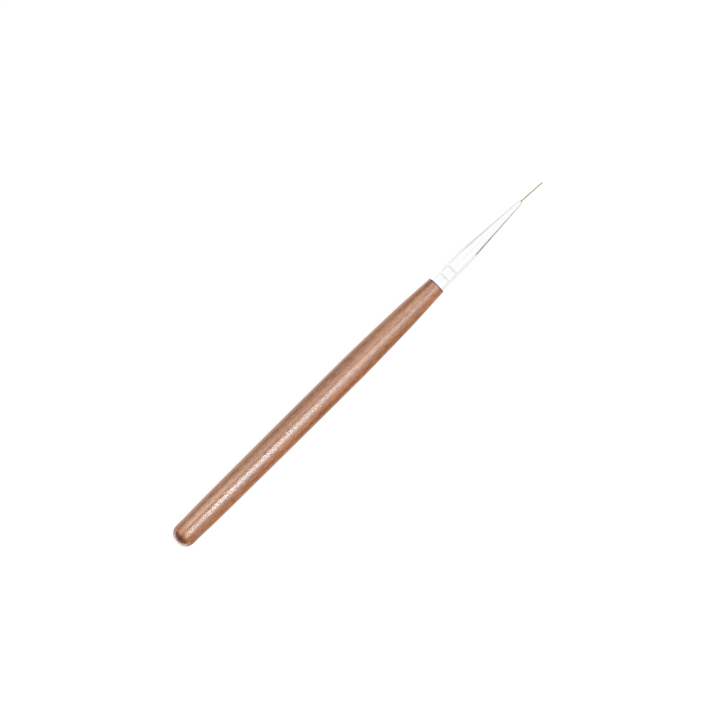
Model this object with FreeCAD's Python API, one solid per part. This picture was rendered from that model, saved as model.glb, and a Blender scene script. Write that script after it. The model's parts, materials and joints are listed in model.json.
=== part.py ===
import FreeCAD, Part

# Fine detail brush: a turned hardwood handle, a crimped and glued aluminium ferrule with a long
# conical nose, and a thin bundle of hairs that is tied, glued into the nose and flexes at its mouth.
#
# Millimetres. The brush lies along X with its hairs towards +X, +Z is up. The origin is at the
# bottom centre of the whole brush's box, so the handle's belly rests on z = 0.
# Outlines are drawn in (station, radius), with station 0 at the end of the handle's butt.

import math
import os

# ---- driving dimensions ------------------------------------------------------------------------
HANDLE_LENGTH = 121.0          # butt to front shoulder, without the tenon
FERRULE_LENGTH = 39.0          # all of it shows in front of the shoulder
HAIR_LENGTH = 10.0             # from the ferrule's mouth to the tip
BELLY_RADIUS = 4.5             # the handle's thickest place

# handle
BUTT_RADIUS = 4.1              # the butt is half a ball of this radius
BELLY = (60.0, 80.0)           # stations between which the handle is a plain cylinder
REAR_OUTLINE = [(15.0, 4.30), (36.0, 4.43)]     # (station, radius) between the butt and the belly
FRONT_OUTLINE = [(90.0, 4.36), (106.0, 3.93), (115.0, 3.47)]  # between the belly and the shoulder
SHOULDER_RADIUS = 3.15         # the neck's end, just proud of the ferrule
SHOULDER_EDGE = 0.25           # radius of the shoulder's rounded edge
TENON_LENGTH = 12.0
TENON_CHAMFER = 0.8

# ferrule
FERRULE_RADIUS = 3.0           # outside, on the plain cylinder
FERRULE_WALL = 0.25
FERRULE_CYLINDER = 15.0        # length of the plain cylinder, up to the cone
CONE_BLEND = 2.0               # length of the rounded change from cylinder to cone, each side of it
MOUTH_RADIUS = 0.84            # outside, at the small end
MOUTH_LIP = 0.07               # radius of the rolled-over edge of the mouth
CRIMP_STATIONS = (3.5, 7.15)   # middles of the two crimp rings, from the handle's shoulder
CRIMP_WIDTH = 0.55
CRIMP_DEPTH = 0.13

# adhesives
TENON_GLUE = 0.06              # thickness of the glue between the tenon and the ferrule
TENON_GLUE_LENGTH = 10.5
ROOT_GLUE_LENGTH = 9.0         # depth of the glue plug behind the mouth
GLUE_HEAD = 0.35               # how far the glue stands out of the mouth round the hairs
GLUE_HEAD_BULGE = 0.72         # share of that reached halfway in from the bore, so the head is round
GLUE_REAR_DISH = 0.30          # how far the plug's rear face is drawn in

# hairs
RINGS = ("centre", "inner", "outer")  # one hair, six round it, twelve round those
HAIR_RADIUS = 0.0375
HAIR_GAP = 0.002               # between neighbouring hairs
HAIR_POINT_LENGTH = 1.4        # taper at each hair's free end
HAIR_POINT_RADIUS = 0.012
HAIR_SHORTER = {"centre": 0.0, "inner": 0.25, "outer": 0.75}  # how much shorter than the centre one
HAIR_STAGGER = 0.07            # extra shortening from one hair to the next
HAIR_STAGGER_REPEAT = 3        # hairs after which the stagger starts again
ROOT_LENGTH = 10.5             # hair behind the mouth, so the roots stand out of the plug's rear
BEND_GAP = 0.02                # between the fixed roots and the free tuft, at the bend
TUFT_LEAN_DEG = 3.2            # the tuft's set, towards -Y

# binding thread
THREAD_RADIUS = 0.06
THREAD_TURNS = 5
THREAD_GAP = 0.004             # between turns, and between the thread and its neighbours

# ---- stations that follow ----------------------------------------------------------------------
MOUTH = HANDLE_LENGTH + FERRULE_LENGTH
CONE_START = HANDLE_LENGTH + FERRULE_CYLINDER
BEND_STATION = MOUTH + GLUE_HEAD
OVERALL_LENGTH = MOUTH + HAIR_LENGTH
HAIR_PITCH = 2 * HAIR_RADIUS + HAIR_GAP
OUTERMOST_RING = len(RINGS) - 1
BUNDLE_RADIUS = OUTERMOST_RING * HAIR_PITCH + HAIR_RADIUS + HAIR_GAP
CONE_ANGLE = math.atan2(FERRULE_RADIUS - MOUTH_RADIUS, MOUTH - CONE_START)


def place(shape):
    """Move a shape from (station, radius) to the brush's own frame."""
    shape.translate(FreeCAD.Vector(-OVERALL_LENGTH / 2, 0, BELLY_RADIUS))
    return shape


def point(station, radius):
    return FreeCAD.Vector(station, 0, radius)


def line(start, end):
    return Part.LineSegment(point(*start), point(*end)).toShape()


def arc(start, middle, end):
    return Part.Arc(point(*start), point(*middle), point(*end)).toShape()


def curve(places, start_direction, end_direction):
    """A smooth edge through these places, leaving and arriving in these directions."""
    spline = Part.BSplineCurve()
    spline.interpolate(
        Points=[point(*p) for p in places],
        InitialTangent=start_direction,
        FinalTangent=end_direction,
    )
    return spline.toShape()


def lines(corners):
    return [line(a, b) for a, b in zip(corners, corners[1:])]


def turned(edges):
    """One solid of revolution about the brush's axis, from a closed outline's edges in any order."""
    outline = Part.Wire(Part.__sortEdges__(edges))
    return Part.Face(outline).revolve(FreeCAD.Vector(0, 0, 0), FreeCAD.Vector(1, 0, 0), 360)


def save(node, solids):
    shape = solids[0] if len(solids) == 1 else Part.makeCompound(solids)
    place(shape).exportStep(f"parts/{node}.step")


# ---- the tube's crimped stretch, shared by the ferrule, the glue and the tenon -----------------
def crimped_line(radius, start, end):
    """Edges along the axis at this radius, dipping at each crimp ring that lies between."""
    edges = []
    at = start
    for station in CRIMP_STATIONS:
        middle = HANDLE_LENGTH + station
        near = middle - CRIMP_WIDTH / 2
        far = middle + CRIMP_WIDTH / 2
        edges.append(line((at, radius), (near, radius)))
        edges.append(arc((near, radius), (middle, radius - CRIMP_DEPTH), (far, radius)))
        at = far
    edges.append(line((at, radius), (end, radius)))
    return edges


def cone_radius(station, inset=0.0):
    """The cone's outside radius at a station, or its bore's with the wall as inset."""
    slope = math.tan(CONE_ANGLE)
    return MOUTH_RADIUS + (MOUTH - station) * slope - inset / math.cos(CONE_ANGLE)


def blended_cone(radius, inset, end):
    """Edges round the change from cylinder to cone, then straight along the cone."""
    start = CONE_START - CONE_BLEND
    joined = CONE_START + CONE_BLEND
    before = FreeCAD.Vector(1, 0, 0)
    after = FreeCAD.Vector(math.cos(CONE_ANGLE), 0, -math.sin(CONE_ANGLE))
    shoulder = (joined, cone_radius(joined, inset))
    blend = curve([(start, radius), shoulder], before, after)
    return [blend, line(shoulder, (end, cone_radius(end, inset)))]


# ---- pieces ------------------------------------------------------------------------------------
def handle():
    tenon_radius = FERRULE_RADIUS - FERRULE_WALL - TENON_GLUE
    tenon_end = HANDLE_LENGTH + TENON_LENGTH
    forty_five = math.sqrt(0.5)
    ball_middle = (BUTT_RADIUS * (1 - forty_five), BUTT_RADIUS * forty_five)
    edge_start = (HANDLE_LENGTH - SHOULDER_EDGE, SHOULDER_RADIUS)
    edge_middle = (
        HANDLE_LENGTH - SHOULDER_EDGE * (1 - forty_five),
        SHOULDER_RADIUS - SHOULDER_EDGE * (1 - forty_five),
    )
    edge_end = (HANDLE_LENGTH, SHOULDER_RADIUS - SHOULDER_EDGE)
    butt_end = (BUTT_RADIUS, BUTT_RADIUS)
    belly_start = (BELLY[0], BELLY_RADIUS)
    belly_end = (BELLY[1], BELLY_RADIUS)
    neck_run = edge_start[0] - FRONT_OUTLINE[-1][0]
    neck_drop = SHOULDER_RADIUS - FRONT_OUTLINE[-1][1]
    front_slope = FreeCAD.Vector(neck_run, 0, neck_drop)
    along = FreeCAD.Vector(1, 0, 0)
    edges = [
        arc((0, 0), ball_middle, butt_end),
        curve([butt_end] + REAR_OUTLINE + [belly_start], along, along),
        line(belly_start, belly_end),
        curve([belly_end] + FRONT_OUTLINE + [edge_start], along, front_slope),
        arc(edge_start, edge_middle, edge_end),
        line(edge_end, (HANDLE_LENGTH, tenon_radius)),
    ]
    edges += crimped_line(tenon_radius, HANDLE_LENGTH, tenon_end - TENON_CHAMFER)
    edges += lines([
        (tenon_end - TENON_CHAMFER, tenon_radius),
        (tenon_end, tenon_radius - TENON_CHAMFER),
        (tenon_end, 0),
        (0, 0),
    ])
    return turned(edges)


def ferrule():
    bore_radius = FERRULE_RADIUS - FERRULE_WALL
    blend_start = CONE_START - CONE_BLEND
    lip_start = MOUTH - MOUTH_LIP
    mouth_bore = cone_radius(MOUTH, FERRULE_WALL)
    outside = crimped_line(FERRULE_RADIUS, HANDLE_LENGTH, blend_start)
    outside += blended_cone(FERRULE_RADIUS, 0.0, lip_start)
    inside = crimped_line(bore_radius, HANDLE_LENGTH, blend_start)
    inside += blended_cone(bore_radius, FERRULE_WALL, MOUTH)
    lip_radius = cone_radius(lip_start)
    half = MOUTH_LIP * math.sqrt(0.5)
    lip = arc(
        (lip_start, lip_radius),
        (lip_start + half, lip_radius - MOUTH_LIP + half),
        (MOUTH, lip_radius - MOUTH_LIP),
    )
    front = line((MOUTH, lip_radius - MOUTH_LIP), (MOUTH, mouth_bore))
    back = line((HANDLE_LENGTH, FERRULE_RADIUS), (HANDLE_LENGTH, bore_radius))
    return turned(outside + [lip, front, back] + inside)


def tenon_adhesive():
    outer = FERRULE_RADIUS - FERRULE_WALL
    inner = outer - TENON_GLUE
    end = HANDLE_LENGTH + TENON_GLUE_LENGTH
    edges = crimped_line(outer, HANDLE_LENGTH, end)
    edges += crimped_line(inner, HANDLE_LENGTH, end)
    edges.append(line((HANDLE_LENGTH, outer), (HANDLE_LENGTH, inner)))
    edges.append(line((end, outer), (end, inner)))
    return turned(edges)


def thread_stretch():
    """How long the wound stretch of thread is."""
    return THREAD_TURNS * (2 * THREAD_RADIUS + THREAD_GAP) + THREAD_GAP


def root_adhesive():
    """The plug in the cone's nose, round the hairs, with a pocket at its rear for the thread."""
    rear = MOUTH - ROOT_GLUE_LENGTH
    pocket_end = rear + thread_stretch()
    pocket_radius = BUNDLE_RADIUS + 2 * THREAD_RADIUS + 2 * THREAD_GAP
    rear_radius = cone_radius(rear, FERRULE_WALL)
    mouth_bore = cone_radius(MOUTH, FERRULE_WALL)
    rear_middle = (rear + GLUE_REAR_DISH, (rear_radius + pocket_radius) / 2)
    head_middle = (MOUTH + GLUE_HEAD_BULGE * GLUE_HEAD, (mouth_bore + BUNDLE_RADIUS) / 2)
    edges = [
        line((rear, rear_radius), (MOUTH, mouth_bore)),
        arc((MOUTH, mouth_bore), head_middle, (MOUTH + GLUE_HEAD, BUNDLE_RADIUS)),
        arc((rear, rear_radius), rear_middle, (rear, pocket_radius)),
    ]
    edges += lines([
        (MOUTH + GLUE_HEAD, BUNDLE_RADIUS),
        (pocket_end, BUNDLE_RADIUS),
        (pocket_end, pocket_radius),
        (rear, pocket_radius),
    ])
    return turned(edges)


def root_binding_thread():
    """One thread wound round the roots, as a helix with a round section."""
    pitch = 2 * THREAD_RADIUS + THREAD_GAP
    radius = BUNDLE_RADIUS + THREAD_RADIUS + THREAD_GAP
    start = MOUTH - ROOT_GLUE_LENGTH + THREAD_RADIUS + THREAD_GAP
    path = Part.makeHelix(pitch, pitch * (THREAD_TURNS - 1), radius)
    centre = FreeCAD.Vector(radius, 0, 0)
    ring = Part.makeCircle(THREAD_RADIUS, centre, FreeCAD.Vector(0, 1, 0))
    thread = Part.Wire(path.Edges).makePipeShell([Part.Wire(ring)], True, True)
    thread.rotate(FreeCAD.Vector(0, 0, 0), FreeCAD.Vector(0, 1, 0), 90)
    thread.translate(FreeCAD.Vector(start, 0, 0))
    return thread


# ---- hairs, packed in rings round a centre one -------------------------------------------------
def hair_places():
    """(ring, y, z) of every hair's axis, in a close hexagonal pack."""
    places = []
    steps = range(-OUTERMOST_RING, OUTERMOST_RING + 1)
    for across in steps:
        for up in steps:
            ring = max(abs(across), abs(up), abs(across + up))
            if ring > OUTERMOST_RING:
                continue
            y = HAIR_PITCH * (across + up / 2)
            z = HAIR_PITCH * up * math.sqrt(3) / 2
            places.append((RINGS[ring], y, z))
    return places


def root_hair(y, z):
    """A hair from its root to the bend."""
    start = FreeCAD.Vector(MOUTH - ROOT_LENGTH, y, z)
    length = ROOT_LENGTH + BEND_STATION - MOUTH
    return Part.makeCylinder(HAIR_RADIUS, length, start, FreeCAD.Vector(1, 0, 0))


def free_hair(y, z, length):
    """A hair from the bend to its point, before the tuft is leaned."""
    start = BEND_STATION + BEND_GAP
    taper = BEND_STATION + length - HAIR_POINT_LENGTH
    outline = lines([
        (start, 0),
        (start, HAIR_RADIUS),
        (taper, HAIR_RADIUS),
        (taper + HAIR_POINT_LENGTH, HAIR_POINT_RADIUS),
        (taper + HAIR_POINT_LENGTH, 0),
        (start, 0),
    ])
    hair = turned(outline)
    hair.translate(FreeCAD.Vector(0, y, z))
    return hair


def hairs():
    """The hairs in groups: fixed roots and free ends, each by ring."""
    bend = FreeCAD.Vector(BEND_STATION, 0, 0)
    up = FreeCAD.Vector(0, 0, 1)
    groups = {}
    for number, (ring, y, z) in enumerate(hair_places()):
        shorter = HAIR_SHORTER[ring]
        if ring != "centre":
            shorter += HAIR_STAGGER * (number % HAIR_STAGGER_REPEAT)
        free = free_hair(y, z, HAIR_LENGTH - GLUE_HEAD - shorter)
        free.rotate(bend, up, -TUFT_LEAN_DEG)
        groups.setdefault(f"hair_roots_{ring}", []).append(root_hair(y, z))
        groups.setdefault(f"tuft_hairs_{ring}", []).append(free)
    return groups


def main():
    os.makedirs("parts", exist_ok=True)
    save("handle", [handle()])
    save("ferrule", [ferrule()])
    save("tenon_adhesive", [tenon_adhesive()])
    save("root_adhesive", [root_adhesive()])
    save("root_binding_thread", [root_binding_thread()])
    for node, solids in hairs().items():
        save(node, solids)


main()
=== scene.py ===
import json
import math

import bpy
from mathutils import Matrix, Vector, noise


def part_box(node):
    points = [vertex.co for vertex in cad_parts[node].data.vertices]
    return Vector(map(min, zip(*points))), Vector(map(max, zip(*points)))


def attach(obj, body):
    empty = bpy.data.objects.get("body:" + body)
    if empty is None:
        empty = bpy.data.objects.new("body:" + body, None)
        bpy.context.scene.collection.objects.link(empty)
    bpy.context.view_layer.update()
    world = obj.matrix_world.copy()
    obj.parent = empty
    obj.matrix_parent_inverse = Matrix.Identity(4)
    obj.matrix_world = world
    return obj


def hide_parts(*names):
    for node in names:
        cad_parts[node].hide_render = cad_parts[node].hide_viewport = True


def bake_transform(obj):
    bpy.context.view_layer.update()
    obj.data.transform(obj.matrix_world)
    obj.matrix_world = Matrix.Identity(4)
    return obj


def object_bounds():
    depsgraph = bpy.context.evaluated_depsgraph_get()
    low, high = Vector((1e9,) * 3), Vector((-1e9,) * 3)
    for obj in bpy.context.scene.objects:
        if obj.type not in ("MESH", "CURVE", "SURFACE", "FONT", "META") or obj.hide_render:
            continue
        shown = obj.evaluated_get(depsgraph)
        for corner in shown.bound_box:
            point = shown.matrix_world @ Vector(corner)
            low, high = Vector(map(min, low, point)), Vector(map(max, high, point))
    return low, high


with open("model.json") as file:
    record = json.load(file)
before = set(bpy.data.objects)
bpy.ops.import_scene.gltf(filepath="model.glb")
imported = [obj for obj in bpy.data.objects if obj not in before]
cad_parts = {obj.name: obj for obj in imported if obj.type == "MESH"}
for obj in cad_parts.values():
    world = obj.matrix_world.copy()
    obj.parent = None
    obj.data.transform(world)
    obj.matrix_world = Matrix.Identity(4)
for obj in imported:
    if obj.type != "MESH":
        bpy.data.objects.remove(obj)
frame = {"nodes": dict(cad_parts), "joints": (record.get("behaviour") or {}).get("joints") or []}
cad_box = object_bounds()

# Fine detail brush: looks. A lacquered hardwood handle, a polished aluminium ferrule, the adhesive
# at its mouth and the hairs, built round the CAD frame. The brush's sizes and the materials' patterns
# are in millimetres. Outlines are (station, radius), with station 0 at the end of the handle's butt.
# The frame's own places and the stage are in metres.

# ---- places, from the frame --------------------------------------------------------------------
MM = 0.001
HANDLE_LOW, HANDLE_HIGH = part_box("handle")
FERRULE_LOW, FERRULE_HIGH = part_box("ferrule")
BEND = Vector(frame["joints"][0]["pos_m"])
BUTT_X = HANDLE_LOW.x
AXIS_Z = (HANDLE_LOW.z + HANDLE_HIGH.z) / 2


def station(x):
    """How far a place is in front of the butt's end, in millimetres."""
    return (x - BUTT_X) / MM


SHOULDER = station(FERRULE_LOW.x)
MOUTH = station(FERRULE_HIGH.x)
TENON_END = station(HANDLE_HIGH.x)
BEND_STATION = station(BEND.x)
ROOTS_START = station(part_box("hair_roots_centre")[0].x)
GLUE_REAR = station(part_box("root_adhesive")[0].x)
BELLY_RADIUS = (HANDLE_HIGH.z - AXIS_Z) / MM
FERRULE_RADIUS = (FERRULE_HIGH.z - AXIS_Z) / MM

# ---- handle ------------------------------------------------------------------------------------
BUTT_RADIUS = 4.1
REAR_OUTLINE = [(15.0, 4.30), (36.0, 4.43)]
BELLY = (60.0, 80.0)
FRONT_OUTLINE = [(90.0, 4.36), (106.0, 3.93), (115.0, 3.47)]
SHOULDER_RADIUS = 3.15
SHOULDER_EDGE = 0.25
TENON_CHAMFER = 0.8

# ---- ferrule -----------------------------------------------------------------------------------
FERRULE_WALL = 0.25
TENON_GLUE = 0.06
CONE_START = SHOULDER + 15.0
CONE_BLEND = 2.0
MOUTH_RADIUS = 0.84
MOUTH_LIP = 0.07
REAR_LIP = 0.05
CRIMPS = (SHOULDER + 3.5, SHOULDER + 7.15)
CRIMP_WIDTH = 0.70             # soft shoulders included
CRIMP_DEPTH = 0.13
CONE_SLOPE = (FERRULE_RADIUS - MOUTH_RADIUS) / (MOUTH - CONE_START)

# ---- adhesive at the mouth ---------------------------------------------------------------------
HEAD_BULGE = 0.72              # share of the head's length reached halfway in from the bore
HEAD_UNEVEN = 0.05             # how far from round the head is

# ---- hairs -------------------------------------------------------------------------------------
RINGS = 2                      # rings of hairs round the centre one
HAIR_RADIUS = 0.0375
HAIR_PITCH = 0.077
HAIR_LENGTH = 9.65             # from the bend
RING_SHORTER = (0.0, 0.12, 0.35)
HAIR_STAGGER = 0.07
POINT_LENGTH = 1.0
POINT_RADIUS = 0.012
LEAN_DEG = 3.2                 # the tuft's set, towards -Y
LEAN_EASE = 1.5                # stretch over which a hair takes up the lean
GATHER = 0.06                  # share by which the hairs close up towards their points
WANDER = 0.010                 # how far a hair strays from its place
ROOT_RINGS = (-4.0, -1.0, -0.5)  # places along the hidden root, from the bend
FREE_RINGS = 32
POINT_RINGS = 8
WANDER_PACE = 0.45             # how fast a hair strays along its length
WANDER_APART = 7.3             # keeps one hair's straying unlike the next one's
WANDER_SEED = 1.7
BUNDLE_RADIUS = RINGS * HAIR_PITCH + HAIR_RADIUS

# ---- mesh fineness -----------------------------------------------------------------------------
ROUND = 128                    # facets round the handle and the ferrule
ROUND_HEAD = 48
ROUND_HAIR = 8
ARC_STEPS = 24
EDGE_STEPS = 6
SPAN_STEPS = 14
CRIMP_STEPS = 12
SHARP_DEG = 40.0

# ---- camera and light --------------------------------------------------------------------------
CAMERA_LENS = 100.0
CAMERA_SENSOR = 36.0
VIEW_WIDTH = 0.23789           # what the frame's side spans at the brush's axis
CAMERA_TURN_DEG = -44.73       # puts the hairs at the upper right
CAMERA_RIGHT = 0.213 * MM      # the camera's place beside the brush's middle, in its own axes
CAMERA_UP = 0.564 * MM
CAMERA_NEAREST = 0.01
FLOOR_HALF = 4.0
FLOOR_GREY = 0.06
FLOOR_GLOW = 0.94
SURROUND_LEVEL = 1.05
ROOM_END_LEVEL = 0.60          # the room is darker past the two ends of the brush
ROOM_END_FROM = 0.35
ROOM_END_TO = 0.95
LIGHT_HEIGHT = 1.0
KEY_COLOUR = (0.73, 0.92, 1.0)
FILL_COLOUR = (0.95, 1.0, 0.92)
WHITE = (1.0, 1.0, 1.0)
# Softboxes, as (name, rear x, front x, right y, left y, radiance, colour). These light only the
# handle, and only its gloss.
GLOSS_BOXES = [
    ("key_rear", -0.205, -0.12, -0.55, 0.06, 74.0, KEY_COLOUR),
    ("key", -0.12, 0.05, -0.40, 0.03, 13.0, KEY_COLOUR),
    ("key_front", 0.05, 0.34, -0.40, 0.03, 10.5, KEY_COLOUR),
    ("key_edge_rear", -0.32, -0.12, -1.00, -0.55, 14.0, KEY_COLOUR),
    ("key_edge", -0.12, 0.45, -1.00, -0.40, 8.0, KEY_COLOUR),
    ("key_fade", -0.60, 0.50, -2.50, -1.00, 3.6, KEY_COLOUR),
    ("fill_rear", -0.60, -0.16, 0.50, 1.30, 14.0, FILL_COLOUR),
    ("fill_rear_far", -0.80, -0.40, 1.30, 3.00, 19.0, FILL_COLOUR),
    ("fill", -0.12, 0.14, 0.03, 1.00, 3.9, FILL_COLOUR),
    ("fill_front", 0.14, 0.45, 0.03, 2.20, 8.0, FILL_COLOUR),
]
# Softboxes of the same form that give matt light and no gloss.
MATT_BOXES = [
    ("matt", -0.60, 0.60, -0.69, 0.11, 1.1, WHITE),
    ("matt_from_right", -0.60, 0.60, -3.00, -1.60, 18.5, WHITE),
    ("matt_from_left", -0.60, 0.60, 2.00, 3.20, 15.5, WHITE),
]
# Cards and a strip that only gloss shows, as (name, rear x, front x, one long edge's (y, z), the
# other's, radiance).
CARDS = [
    ("dark_card_by_handle", -0.078, 0.030, (-0.012, 0.0), (-0.012, 0.009), 0.70),
    ("bright_card_by_handle", -0.086, 0.040, (0.007, 0.0005), (0.045, 0.0005), 2.2),
    ("bright_card_behind_butt", -0.20, -0.088, (-0.035, 0.0005), (0.035, 0.0005), 9.5),
    ("grey_card_by_tube", 0.032, 0.054, (-0.012, 0.0), (-0.012, 0.0105), 0.90),
    ("grey_card_across_from_it", 0.032, 0.056, (0.035, 0.0), (0.035, 0.012), 0.80),
    ("dark_card_by_cone", 0.056, 0.120, (-0.030, 0.0), (-0.030, 0.013), 0.20),
    ("grey_card_by_cone", 0.056, 0.120, (0.035, 0.0), (0.035, 0.014), 0.58),
    ("dim_strip_overhead", 0.05, 0.60, (-0.05, 0.98), (0.05, 0.98), 0.86),
]


# ---- outlines ----------------------------------------------------------------------------------
def smooth_run(places, first_slope, last_slope):
    """Points of a smooth curve through these (station, radius) places, with these end slopes."""
    slopes = [first_slope]
    for before, after in zip(places, places[2:]):
        slopes.append((after[1] - before[1]) / (after[0] - before[0]))
    slopes.append(last_slope)
    points = []
    for number, (start, end) in enumerate(zip(places, places[1:])):
        span = end[0] - start[0]
        for step in range(SPAN_STEPS):
            u = step / SPAN_STEPS
            rise = u * u * (3 - 2 * u)
            leaving = span * slopes[number] * u * (1 - u) ** 2
            arriving = span * slopes[number + 1] * u * u * (u - 1)
            radius = start[1] + (end[1] - start[1]) * rise + leaving + arriving
            points.append((start[0] + span * u, radius))
    points.append(places[-1])
    return points


def arc_run(middle, radius, first_deg, last_deg, steps):
    """Points of an arc about a middle, with 0 degrees forward and 90 degrees outward."""
    points = []
    for step in range(steps + 1):
        angle = math.radians(first_deg + (last_deg - first_deg) * step / steps)
        points.append((middle[0] + radius * math.cos(angle), middle[1] + radius * math.sin(angle)))
    return points


def crimped_run(radius, start, end):
    """A straight run at this radius that dips at each crimp ring between its ends."""
    points = [(start, radius)]
    for crimp in CRIMPS:
        for step in range(CRIMP_STEPS + 1):
            u = step / CRIMP_STEPS
            dip = CRIMP_DEPTH * (1 - math.cos(2 * math.pi * u)) / 2
            points.append((crimp + CRIMP_WIDTH * (u - 0.5), radius - dip))
    points.append((end, radius))
    return points


def cone_radius(at):
    """The cone's outer radius at a station."""
    return MOUTH_RADIUS + (MOUTH - at) * CONE_SLOPE


def cone_run(inset, end):
    """From the end of the cylinder, round the change of slope, and down the cone."""
    start = CONE_START - CONE_BLEND
    joined = CONE_START + CONE_BLEND
    places = [(start, FERRULE_RADIUS - inset), (joined, cone_radius(joined) - inset)]
    points = smooth_run(places, 0.0, -CONE_SLOPE)
    return points + straight_run(points[-1], (end, cone_radius(end) - inset))[1:]


def straight_run(start, end):
    """Evenly spaced points from one place to another."""
    points = []
    for step in range(SPAN_STEPS + 1):
        u = step / SPAN_STEPS
        points.append((start[0] + (end[0] - start[0]) * u, start[1] + (end[1] - start[1]) * u))
    return points


# ---- meshes ------------------------------------------------------------------------------------
def piece_from(name, vertices, faces):
    """A smooth-shaded object, with hard edges only where the surface really turns."""
    mesh = bpy.data.meshes.new(name)
    mesh.from_pydata(vertices, [], faces)
    mesh.validate()
    mesh.polygons.foreach_set("use_smooth", [True] * len(mesh.polygons))
    mesh.set_sharp_from_angle(angle=math.radians(SHARP_DEG))
    piece = bpy.data.objects.new(name, mesh)
    bpy.context.scene.collection.objects.link(piece)
    return piece


def turned(name, outline, facets, closed=False, uneven=0.0):
    """A solid of revolution about the brush's axis. A closed outline makes a tube."""
    vertices = []
    rings = []
    for at, radius in outline:
        if radius == 0:
            rings.append([len(vertices)] * facets)
            vertices.append((BUTT_X + at * MM, 0.0, AXIS_Z))
            continue
        rings.append([len(vertices) + facet for facet in range(facets)])
        for facet in range(facets):
            angle = 2 * math.pi * facet / facets
            around = Vector((math.cos(angle), math.sin(angle), at))
            far = radius * (1 + uneven * noise.noise(around)) * MM
            y = far * math.cos(angle)
            z = AXIS_Z + far * math.sin(angle)
            vertices.append((BUTT_X + at * MM, y, z))
    pairs = list(zip(rings, rings[1:]))
    if closed:
        pairs.append((rings[-1], rings[0]))
    faces = []
    for ring, following in pairs:
        for facet in range(facets):
            beside = (facet + 1) % facets
            corners = [ring[facet], following[facet], following[beside], ring[beside]]
            faces.append(list(dict.fromkeys(corners)))
    return piece_from(name, vertices, faces)


def strand(name, path, radii):
    """A hair: a round tube along a path of points in metres, closed at both ends."""
    vertices = []
    for centre, radius in zip(path, radii):
        for side in range(ROUND_HAIR):
            angle = 2 * math.pi * side / ROUND_HAIR
            out = Vector((0.0, math.cos(angle), math.sin(angle))) * radius
            vertices.append(centre + out)
    faces = [list(range(ROUND_HAIR))]
    for ring in range(len(path) - 1):
        first = ring * ROUND_HAIR
        for side in range(ROUND_HAIR):
            beside = (side + 1) % ROUND_HAIR
            near = first + side
            far = first + ROUND_HAIR + side
            faces.append([near, first + beside, first + ROUND_HAIR + beside, far])
    last = (len(path) - 1) * ROUND_HAIR
    faces.append([last + side for side in reversed(range(ROUND_HAIR))])
    return piece_from(name, vertices, faces)


# ---- shader nodes ------------------------------------------------------------------------------
class Nodes:
    """A node tree, with short calls that add nodes and join them."""

    def __init__(self, tree):
        self.tree = tree

    def put(self, node, socket, value):
        if isinstance(value, bpy.types.NodeSocket):
            self.tree.links.new(value, node.inputs[socket])
        else:
            node.inputs[socket].default_value = value

    def node(self, kind, inputs, **settings):
        made = self.tree.nodes.new(kind)
        for setting, value in settings.items():
            setattr(made, setting, value)
        for socket, value in inputs.items():
            self.put(made, socket, value)
        return made

    def rescale(self, value, low, high, new_low=0.0, new_high=1.0):
        """Takes low..high to new_low..new_high, and goes no further."""
        inputs = {"Value": value, "From Min": low, "From Max": high}
        inputs.update({"To Min": new_low, "To Max": new_high})
        return self.node("ShaderNodeMapRange", inputs).outputs["Result"]

    def combine(self, operation, first, second=0.0, third=0.0):
        """A sum, product or other arithmetic on one to three values."""
        inputs = {0: first, 1: second, 2: third}
        return self.node("ShaderNodeMath", inputs, operation=operation).outputs[0]

    def mix(self, share, first, second):
        """Mixes two colours, which are nodes' outputs or (r, g, b)."""
        inputs = {0: share}
        for socket, colour in ((6, first), (7, second)):
            is_output = isinstance(colour, bpy.types.NodeSocket)
            inputs[socket] = colour if is_output else (*colour, 1.0)
        return self.node("ShaderNodeMix", inputs, data_type="RGBA").outputs[2]

    def ramp(self, value, stops):
        """A colour for each value, through (position, (r, g, b)) stops."""
        made = self.node("ShaderNodeValToRGB", {"Fac": value})
        band = made.color_ramp
        while len(band.elements) < len(stops):
            band.elements.new(0.5)
        for element, (position, colour) in zip(band.elements, stops):
            element.position = position
            element.color = (*colour, 1.0)
        return made.outputs["Color"]


class Shader(Nodes):
    """A material's nodes, with patterns that are laid out in millimetres."""

    def __init__(self, name):
        self.material = bpy.data.materials.new(name)
        self.material.use_nodes = True
        super().__init__(self.material.node_tree)
        self.surface = self.tree.nodes["Principled BSDF"]

    def finish(self, **values):
        """Sets the surface's inputs: Base_Color=... sets Base Color."""
        for socket, value in values.items():
            self.put(self.surface, socket.replace("_", " "), value)
        return self.material

    def place(self, turn_deg=0.0):
        """Millimetres from the frame's origin, turned about the brush's length to slant a pattern."""
        object_place = self.node("ShaderNodeTexCoord", {}).outputs["Object"]
        turn = (0.0, 0.0, math.radians(turn_deg))
        mapping = {"Vector": object_place, "Scale": (1 / MM,) * 3, "Rotation": turn}
        return self.node("ShaderNodeMapping", mapping).outputs["Vector"]

    def scaled(self, place, scale, shift=(0.0, 0.0, 0.0)):
        mapping = {"Vector": place, "Scale": scale, "Location": shift}
        return self.node("ShaderNodeMapping", mapping).outputs["Vector"]

    def noise(self, vector, detail, roughness=0.5):
        inputs = {"Vector": vector, "Scale": 1.0, "Detail": detail, "Roughness": roughness}
        return self.node("ShaderNodeTexNoise", inputs).outputs["Fac"]

    def bump(self, height, strength, distance_mm):
        inputs = {"Height": height, "Strength": strength, "Distance": distance_mm * MM}
        return self.node("ShaderNodeBump", inputs).outputs["Normal"]

    def along(self, place):
        """Millimetres in front of the frame's origin."""
        return self.node("ShaderNodeSeparateXYZ", {"Vector": place}).outputs["X"]


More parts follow.
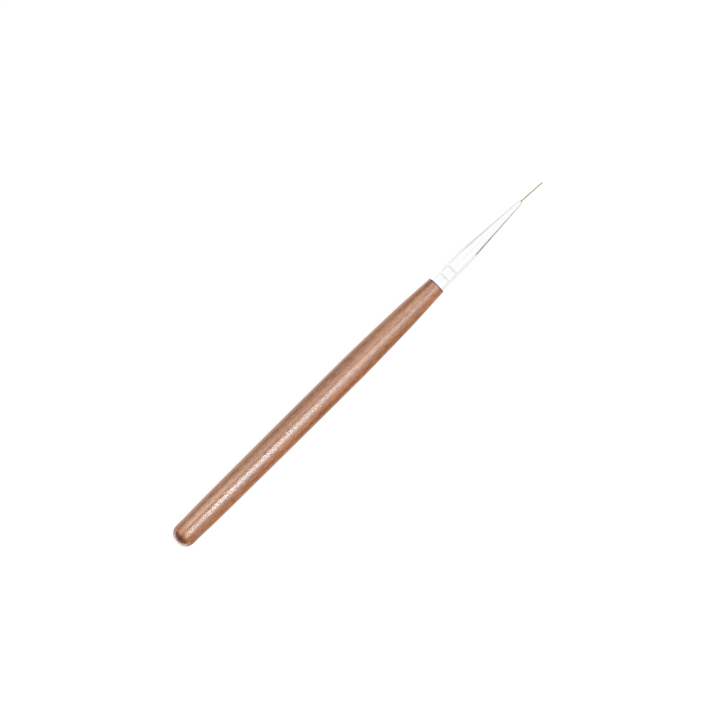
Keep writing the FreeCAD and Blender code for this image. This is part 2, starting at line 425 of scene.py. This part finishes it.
# ---- values for the wood -----------------------------------------------------------------------
WOOD_DARK = (0.122, 0.035, 0.009)
WOOD_MIDDLE = (0.203, 0.066, 0.018)
WOOD_LIGHT = (0.293, 0.114, 0.038)
WOOD_PORE = (0.060, 0.016, 0.006)
WOOD_SEAL = (0.075, 0.038, 0.025)
WOOD_END_GRAIN = (0.064, 0.015, 0.004)
WOOD_END_GRAIN_PALE = (0.108, 0.030, 0.008)
GROWTH_RING_SCALE = 0.17
HEART_SHIFT = (0.0, 11.0, -7.0)  # puts the trunk's heart beside the stick
PORE_SLANT_DEG = 4.0
PORE_STRENGTH = 0.75
RINGS_SHARE = 0.08             # how much each pattern adds to the wood's figure
STREAKS_SHARE = 0.90
PATCHES_SHARE = 0.40
DEEPEST_TONE_X = -18.0         # millimetres from the frame's origin; paler both ways from here
PALER_FROM = 15.0
PALER_UNTIL = 55.0
PALER_BY = 0.13
SEAL_LENGTH = 0.62             # at its longest, back from the shoulder
SEAL_RAGGED = 0.30
SEAL_FADE = 0.14
END_GRAIN_STATION = 2.95       # where the butt's darker end grain stops
END_GRAIN_RAGGED = 0.90
END_GRAIN_FADE = 0.35
LACQUER_THIN = 0.20
LACQUER_FULL = 0.55
LACQUER_THIN_UNTIL = 3.0       # stations
LACQUER_FULL_FROM = 7.0

# ---- values for the other materials ------------------------------------------------------------
ALUMINIUM_DULLER = (0.925, 0.930, 0.940)
ALUMINIUM_BRIGHTER = (0.965, 0.965, 0.970)
RESIN_DARK = (0.250, 0.130, 0.110)
RESIN_PALE = (0.460, 0.290, 0.240)
GLUE_DARK = (0.80, 0.66, 0.42)
GLUE_PALE = (0.92, 0.84, 0.66)
THREAD_DARK = (0.58, 0.50, 0.38)
THREAD_PALE = (0.82, 0.76, 0.64)
THREAD_TWIST_DEG = 35.0
# Colours along a hair, as (share of its length, colour).
HAIR_COLOURS = [
    (0.0, (0.170, 0.085, 0.028)),
    (0.10, (0.300, 0.210, 0.052)),
    (0.60, (0.330, 0.235, 0.056)),
    (1.0, (0.310, 0.225, 0.056)),
]
HAIR_DARKER = (0.26, 0.17, 0.042)
HAIR_ROOT_SHOWN = 0.4          # how far behind the bend the colours begin


# ---- materials ---------------------------------------------------------------------------------
def growth_rings(shader, place):
    """Rings about a trunk's heart that lies beside the stick, wavering slowly along it."""
    heart = shader.scaled(place, (0.030, 1.0, 1.0), HEART_SHIFT)
    inputs = {"Vector": heart, "Scale": GROWTH_RING_SCALE, "Distortion": 1.6, "Detail": 3.0}
    inputs.update({"Detail Scale": 1.2, "Detail Roughness": 0.55})
    settings = {"wave_type": "RINGS", "rings_direction": "X", "wave_profile": "SIN"}
    return shader.node("ShaderNodeTexWave", inputs, **settings).outputs["Fac"]


def pores(shader):
    """Short dark dashes along the grain, slightly slanted to the stick."""
    slanted = shader.place(turn_deg=PORE_SLANT_DEG)
    dashes = shader.noise(shader.scaled(slanted, (0.42, 5.2, 5.2)), detail=1.0)
    patches = shader.noise(shader.scaled(slanted, (0.05, 0.55, 0.55)), detail=1.0)
    shown = shader.combine("MULTIPLY", shader.rescale(dashes, 0.60, 0.72), patches)
    return shader.rescale(shown, 0.15, 0.60)


def seal_at_shoulder(shader, place):
    """A thin dark ring of sealer round the front shoulder, uneven at its edge."""
    shoulder_x = FERRULE_LOW.x / MM
    ragged = shader.noise(shader.scaled(place, (0.6, 1.4, 1.4)), detail=3.0)
    edge = shader.combine("MULTIPLY_ADD", ragged, SEAL_RAGGED, shoulder_x - SEAL_LENGTH)
    beyond = shader.combine("SUBTRACT", shader.along(place), edge)
    return shader.rescale(beyond, 0.0, SEAL_FADE)


def end_grain(shader, place):
    """The butt's end grain drinks more lacquer, and is darker behind a slightly ragged line."""
    ragged = shader.noise(shader.scaled(place, (0.5, 1.6, 1.6)), detail=3.0)
    line_x = BUTT_X / MM + END_GRAIN_STATION
    edge = shader.combine("MULTIPLY_ADD", ragged, END_GRAIN_RAGGED, line_x - END_GRAIN_RAGGED / 2)
    behind = shader.combine("SUBTRACT", edge, shader.along(place))
    return shader.rescale(behind, -END_GRAIN_FADE, END_GRAIN_FADE)


def end_grain_colour(shader, place, rings):
    """Cut rings and open pores, seen end on."""
    specks = shader.noise(shader.scaled(place, (1.5, 4.5, 4.5)), detail=3.0, roughness=0.65)
    figure = shader.combine("MULTIPLY_ADD", rings, 0.15, shader.combine("MULTIPLY", specks, 0.85))
    return shader.mix(shader.rescale(figure, 0.34, 0.68), WOOD_END_GRAIN, WOOD_END_GRAIN_PALE)


def paler_ends(shader, place):
    """The wood is a little paler towards both ends of the handle."""
    ahead = shader.combine("SUBTRACT", shader.along(place), DEEPEST_TONE_X)
    away = shader.combine("ABSOLUTE", ahead)
    return shader.rescale(away, PALER_FROM, PALER_UNTIL, 0.0, PALER_BY)


def lacquer_depth(shader, place):
    """The lacquer lies thinner on the butt, where the wood drinks it, and full in front of it."""
    butt_x = BUTT_X / MM
    ends = (butt_x + LACQUER_THIN_UNTIL, butt_x + LACQUER_FULL_FROM)
    return shader.rescale(shader.along(place), *ends, LACQUER_THIN, LACQUER_FULL)


def lacquered_wood():
    shader = Shader("lacquered_wood")
    place = shader.place()
    rings = growth_rings(shader, place)
    streaks = shader.noise(shader.scaled(place, (0.48, 1.7, 1.7)), detail=4.0, roughness=0.60)
    patches = shader.noise(shader.scaled(place, (0.045, 0.40, 0.40), (5.0, 2.0, 1.0)), detail=3.0)
    figure = shader.combine("MULTIPLY", rings, RINGS_SHARE)
    figure = shader.combine("MULTIPLY_ADD", streaks, STREAKS_SHARE, figure)
    figure = shader.combine("MULTIPLY_ADD", patches, PATCHES_SHARE, figure)
    figure_tone = shader.rescale(figure, 0.50, 0.88)
    tone = shader.combine("ADD", figure_tone, paler_ends(shader, place))
    stops = [(0.0, WOOD_DARK), (0.48, WOOD_MIDDLE), (1.0, WOOD_LIGHT)]
    colour = shader.ramp(tone, stops)
    dark_pores = pores(shader)
    colour = shader.mix(shader.combine("MULTIPLY", dark_pores, PORE_STRENGTH), colour, WOOD_PORE)
    colour = shader.mix(seal_at_shoulder(shader, place), colour, WOOD_SEAL)
    end_colour = end_grain_colour(shader, place, rings)
    colour = shader.mix(end_grain(shader, place), colour, end_colour)
    grain = shader.noise(shader.scaled(place, (0.10, 4.5, 4.5)), detail=3.0)
    relief = shader.combine("SUBTRACT", grain, dark_pores)
    ripple = shader.noise(shader.scaled(place, (0.30, 0.55, 0.55)), detail=2.0)
    return shader.finish(
        Base_Color=colour,
        Roughness=shader.rescale(streaks, 0.3, 0.7, 0.36, 0.50),
        Normal=shader.bump(relief, 0.25, 0.020),
        Specular_IOR_Level=0.12,
        Coat_Weight=lacquer_depth(shader, place),
        Coat_Roughness=0.26,
        Coat_IOR=1.5,
        Coat_Normal=shader.bump(ripple, 0.12, 0.020),
    )


def polished_aluminium():
    shader = Shader("polished_aluminium")
    place = shader.place()
    turning = shader.noise(shader.scaled(place, (11.0, 0.22, 0.22)), detail=3.0)
    scuffs = shader.noise(shader.scaled(place, (0.15, 7.0, 7.0), (3.0, 0.0, 8.0)), detail=2.0)
    smears = shader.noise(shader.scaled(place, (0.35, 0.45, 0.45)), detail=3.0)
    finish = shader.combine("ADD", turning, shader.rescale(scuffs, 0.66, 0.76, 0.0, 0.8))
    colour = shader.mix(smears, ALUMINIUM_DULLER, ALUMINIUM_BRIGHTER)
    return shader.finish(
        Base_Color=colour,
        Metallic=1.0,
        Roughness=shader.rescale(finish, 0.3, 1.2, 0.20, 0.30),
        Normal=shader.bump(turning, 0.05, 0.010),
    )


def dark_resin():
    shader = Shader("dark_resin")
    place = shader.place()
    cloud = shader.noise(shader.scaled(place, (1.6, 2.4, 2.4)), detail=3.0)
    skin = shader.noise(shader.scaled(place, (5.0, 5.0, 5.0)), detail=2.0)
    return shader.finish(
        Base_Color=shader.mix(cloud, RESIN_DARK, RESIN_PALE),
        Roughness=shader.rescale(cloud, 0.3, 0.7, 0.14, 0.26),
        Normal=shader.bump(skin, 0.20, 0.020),
        Coat_Weight=0.6,
        Coat_Roughness=0.08,
    )


def clear_glue():
    shader = Shader("clear_glue")
    place = shader.place()
    cloud = shader.noise(shader.scaled(place, (0.8, 1.2, 1.2)), detail=3.0)
    return shader.finish(
        Base_Color=shader.mix(cloud, GLUE_DARK, GLUE_PALE),
        Roughness=shader.rescale(cloud, 0.3, 0.7, 0.10, 0.25),
        Normal=shader.bump(cloud, 0.15, 0.010),
    )


def waxed_thread():
    shader = Shader("waxed_thread")
    slanted = shader.place(turn_deg=THREAD_TWIST_DEG)
    twist = shader.noise(shader.scaled(slanted, (26.0, 9.0, 9.0)), detail=2.0)
    return shader.finish(
        Base_Color=shader.mix(twist, THREAD_DARK, THREAD_PALE),
        Roughness=shader.rescale(twist, 0.3, 0.7, 0.55, 0.75),
        Normal=shader.bump(twist, 0.5, 0.010),
        Sheen_Weight=0.3,
    )


def golden_hair():
    """Darker at the root and golden towards the point, with each hair a little different."""
    shader = Shader("golden_hair")
    place = shader.place()
    bend_x = BEND.x / MM
    length = shader.rescale(shader.along(place), bend_x - HAIR_ROOT_SHOWN, bend_x + HAIR_LENGTH)
    own_tone = shader.noise(shader.scaled(place, (0.10, 9.0, 9.0)), detail=1.0)
    scales = shader.noise(shader.scaled(place, (16.0, 30.0, 30.0)), detail=1.0)
    colour = shader.ramp(length, HAIR_COLOURS)
    colour = shader.mix(shader.rescale(own_tone, 0.35, 0.65, 0.0, 0.4), colour, HAIR_DARKER)
    return shader.finish(
        Base_Color=colour,
        Roughness=shader.rescale(scales, 0.3, 0.7, 0.30, 0.42),
        Normal=shader.bump(scales, 0.15, 0.003),
        Coat_Weight=0.25,
        Coat_Roughness=0.25,
    )


# ---- pieces ------------------------------------------------------------------------------------
def handle_outline():
    tenon_radius = FERRULE_RADIUS - FERRULE_WALL - TENON_GLUE
    edge_middle = (SHOULDER - SHOULDER_EDGE, SHOULDER_RADIUS - SHOULDER_EDGE)
    neck_end = (SHOULDER - SHOULDER_EDGE, SHOULDER_RADIUS)
    neck_slope = (neck_end[1] - FRONT_OUTLINE[-1][1]) / (neck_end[0] - FRONT_OUTLINE[-1][0])
    butt = arc_run((BUTT_RADIUS, 0.0), BUTT_RADIUS, 180, 90, ARC_STEPS)
    butt[0] = (0.0, 0.0)
    rear = smooth_run([butt[-1]] + REAR_OUTLINE + [(BELLY[0], BELLY_RADIUS)], 0.0, 0.0)
    belly_end = (BELLY[1], BELLY_RADIUS)
    front = smooth_run([belly_end] + FRONT_OUTLINE + [neck_end], 0.0, neck_slope)
    edge = arc_run(edge_middle, SHOULDER_EDGE, 90, 0, EDGE_STEPS)
    tenon = crimped_run(tenon_radius, SHOULDER, TENON_END - TENON_CHAMFER)
    end = [(TENON_END, tenon_radius - TENON_CHAMFER), (TENON_END, 0.0)]
    return butt + rear[1:] + front + edge[1:] + tenon + end


def make_handle(material):
    """Makes the handle, and gives it back for the softboxes that light it alone."""
    handle = turned("turned_handle", handle_outline(), ROUND)
    handle.data.materials.append(material)
    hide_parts("handle")
    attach(handle, "brush")
    return handle


def ferrule_outline():
    """Outside from rear to mouth, round the lip, and back along the bore."""
    bore = FERRULE_RADIUS - FERRULE_WALL
    blend_start = CONE_START - CONE_BLEND
    lip_start = MOUTH - MOUTH_LIP
    lip_middle = (lip_start, cone_radius(lip_start) - MOUTH_LIP)
    rear_middle = (SHOULDER + REAR_LIP, FERRULE_RADIUS - REAR_LIP)
    rear = arc_run(rear_middle, REAR_LIP, 180, 90, EDGE_STEPS)
    body = crimped_run(FERRULE_RADIUS, SHOULDER + REAR_LIP, blend_start)
    lip = arc_run(lip_middle, MOUTH_LIP, 90, 0, EDGE_STEPS)
    inner_cone = cone_run(FERRULE_WALL, MOUTH)
    inner_tube = crimped_run(bore, SHOULDER, blend_start)
    outside = rear + body[1:] + cone_run(0.0, lip_start)[1:] + lip[1:]
    return outside + inner_cone[::-1] + inner_tube[::-1][1:]


def make_ferrule(material):
    ferrule = turned("crimped_ferrule", ferrule_outline(), ROUND, closed=True)
    ferrule.data.materials.append(material)
    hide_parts("ferrule")
    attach(ferrule, "brush")


def adhesive_outline():
    """The plug inside the cone and the round head that stands out of the mouth."""
    bore = cone_radius(MOUTH) - FERRULE_WALL
    rear_radius = cone_radius(GLUE_REAR) - FERRULE_WALL
    head_length = BEND_STATION - MOUTH
    head = []
    for step in range(EDGE_STEPS + 1):
        u = step / EDGE_STEPS
        out = head_length * (u + (4 * HEAD_BULGE - 2) * u * (1 - u))
        head.append((MOUTH + out, bore + (BUNDLE_RADIUS - bore) * u))
    inside = straight_run((GLUE_REAR, rear_radius), (MOUTH, bore))
    return inside + head[1:] + [(GLUE_REAR, BUNDLE_RADIUS)]


def make_adhesive(material):
    adhesive = turned("root_adhesive_plug", adhesive_outline(), ROUND_HEAD, True, HEAD_UNEVEN)
    adhesive.data.materials.append(material)
    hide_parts("root_adhesive")
    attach(adhesive, "brush")


def hair_places():
    """(ring, y, z) of every hair in a close hexagonal pack, in millimetres from the axis."""
    places = []
    steps = range(-RINGS, RINGS + 1)
    for across in steps:
        for up in steps:
            ring = max(abs(across), abs(up), abs(across + up))
            if ring <= RINGS:
                y = HAIR_PITCH * (across + up / 2)
                places.append((ring, y, HAIR_PITCH * up * math.sqrt(3) / 2))
    return places


def lean_at(ahead):
    """How far towards -Y the tuft has gone this far in front of the bend."""
    slope = math.tan(math.radians(LEAN_DEG))
    if ahead <= 0:
        return 0.0
    if ahead < LEAN_EASE:
        return slope * ahead * ahead / (2 * LEAN_EASE)
    return slope * (ahead - LEAN_EASE / 2)


def hair_stations(length):
    """Rings of a hair: few along the hidden root, even where it flexes, closer at its point."""
    taper_start = length - POINT_LENGTH
    stations = [ROOTS_START - BEND_STATION, *ROOT_RINGS]
    stations += [taper_start * ring / FREE_RINGS for ring in range(FREE_RINGS)]
    for ring in range(POINT_RINGS + 1):
        stations.append(taper_start + POINT_LENGTH * ring / POINT_RINGS)
    return stations


def make_hair(number, ring, y, z, material):
    length = HAIR_LENGTH * math.cos(math.radians(LEAN_DEG)) - RING_SHORTER[ring]
    if ring:
        length -= HAIR_STAGGER * (number % 3)
    path = []
    radii = []
    for ahead in hair_stations(length):
        free = max(ahead, 0.0) / length
        closing = 1 - GATHER * free * free
        stray = WANDER * min(4 * free, 1.0)
        pattern_place = Vector((ahead * WANDER_PACE, WANDER_APART * number, WANDER_SEED))
        sway = noise.noise_vector(pattern_place) * stray
        side = y * closing - lean_at(ahead) + sway.y
        rise = z * closing + sway.z
        path.append(Vector((BEND.x + ahead * MM, side * MM, AXIS_Z + rise * MM)))
        tapering = max(ahead - (length - POINT_LENGTH), 0.0) / POINT_LENGTH
        radii.append((HAIR_RADIUS + (POINT_RADIUS - HAIR_RADIUS) * tapering) * MM)
    hair = strand(f"hair_{number:02d}", path, radii)
    hair.data.materials.append(material)
    group = ("centre", "inner", "outer")[ring]
    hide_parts(f"hair_roots_{group}", f"tuft_hairs_{group}")
    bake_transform(hair)


def finish_cad_node(node, material):
    """A CAD node whose shape is right keeps it and takes a finished material."""
    mesh = frame["nodes"][node].data
    mesh.materials.clear()
    mesh.materials.append(material)


def make_brush():
    """Makes every piece, and gives back the handle."""
    handle = make_handle(lacquered_wood())
    make_ferrule(polished_aluminium())
    make_adhesive(dark_resin())
    hair_material = golden_hair()
    for number, (ring, y, z) in enumerate(hair_places(), start=1):
        make_hair(number, ring, y, z, hair_material)
    finish_cad_node("tenon_adhesive", clear_glue())
    finish_cad_node("root_binding_thread", waxed_thread())
    return handle


# ---- stage -------------------------------------------------------------------------------------
def glowing_sheet(name, corners, grey, glow):
    """A flat sheet of the stage, with a colour of its own and a plain even glow."""
    mesh = bpy.data.meshes.new(name)
    mesh.from_pydata(corners, [], [(0, 1, 2, 3)])
    shader = Shader(name)
    values = {"Base_Color": (grey, grey, grey, 1.0), "Roughness": 1.0, "Specular_IOR_Level": 0.0}
    values.update({"Emission_Color": (*WHITE, 1.0), "Emission_Strength": glow})
    mesh.materials.append(shader.finish(**values))
    sheet = bpy.data.objects.new(name, mesh)
    bpy.context.scene.collection.objects.link(sheet)
    return sheet


def make_floor():
    signs = [(-1, -1), (1, -1), (1, 1), (-1, 1)]
    corners = [(along * FLOOR_HALF, across * FLOOR_HALF, 0) for along, across in signs]
    glowing_sheet("floor", corners, FLOOR_GREY, FLOOR_GLOW)


def make_card(name, rear, front, edge, far_edge, radiance):
    """A card beside the brush, which polished metal and lacquer show as a thin line."""
    corners = [(rear, *edge), (front, *edge), (front, *far_edge), (rear, *far_edge)]
    card = glowing_sheet(name, corners, 0.0, radiance)
    card.visible_camera = False
    card.visible_diffuse = False
    card.visible_shadow = False


def make_softbox(name, rear, front, right, left, radiance, colour):
    """A flat light overhead that faces straight down."""
    light = bpy.data.lights.new(name, "AREA")
    light.shape = "RECTANGLE"
    light.size = front - rear
    light.size_y = left - right
    light.energy = radiance * math.pi * light.size * light.size_y
    light.color = colour
    lamp = bpy.data.objects.new(name, light)
    lamp.location = ((rear + front) / 2, (right + left) / 2, LIGHT_HEIGHT)
    lamp.visible_camera = False
    bpy.context.scene.collection.objects.link(lamp)
    return lamp


def make_world():
    """White all round, and darker past the brush's two ends."""
    world = bpy.data.worlds.new("studio")
    world.use_nodes = True
    bpy.context.scene.world = world
    nodes = Nodes(world.node_tree)
    direction = nodes.node("ShaderNodeTexCoord", {}).outputs["Generated"]
    split = nodes.node("ShaderNodeSeparateXYZ", {"Vector": direction})
    endwise = nodes.combine("ABSOLUTE", split.outputs["X"])
    level = nodes.rescale(endwise, ROOM_END_FROM, ROOM_END_TO, SURROUND_LEVEL, ROOM_END_LEVEL)
    seen_by_camera = nodes.node("ShaderNodeLightPath", {}).outputs["Is Camera Ray"]
    shown = nodes.combine("MAXIMUM", level, seen_by_camera)
    nodes.put(world.node_tree.nodes["Background"], "Color", shown)


def make_camera():
    """Straight above the brush, turned so that it lies from lower left to upper right."""
    data = bpy.data.cameras.new("camera")
    data.lens = CAMERA_LENS
    data.sensor_width = CAMERA_SENSOR
    data.clip_start = CAMERA_NEAREST
    camera = bpy.data.objects.new("camera", data)
    turn = math.radians(CAMERA_TURN_DEG)
    right = Vector((math.cos(turn), math.sin(turn), 0.0))
    up = Vector((-math.sin(turn), math.cos(turn), 0.0))
    middle = (cad_box[0] + cad_box[1]) / 2
    height = AXIS_Z + VIEW_WIDTH * CAMERA_LENS / CAMERA_SENSOR
    place = Vector((middle.x, 0.0, height))
    camera.location = place + right * CAMERA_RIGHT + up * CAMERA_UP
    camera.rotation_euler = (0.0, 0.0, turn)
    bpy.context.scene.collection.objects.link(camera)
    bpy.context.scene.camera = camera


def make_stage(handle):
    make_floor()
    make_world()
    make_camera()
    lacquered = bpy.data.collections.new("lacquered")
    lacquered.objects.link(handle)
    for box in GLOSS_BOXES:
        lamp = make_softbox(*box)
        lamp.visible_diffuse = False
        lamp.light_linking.receiver_collection = lacquered
    for box in MATT_BOXES:
        make_softbox(*box).visible_glossy = False
    for card in CARDS:
        make_card(*card)
    bpy.context.scene.view_settings.view_transform = "Standard"


make_stage(make_brush())
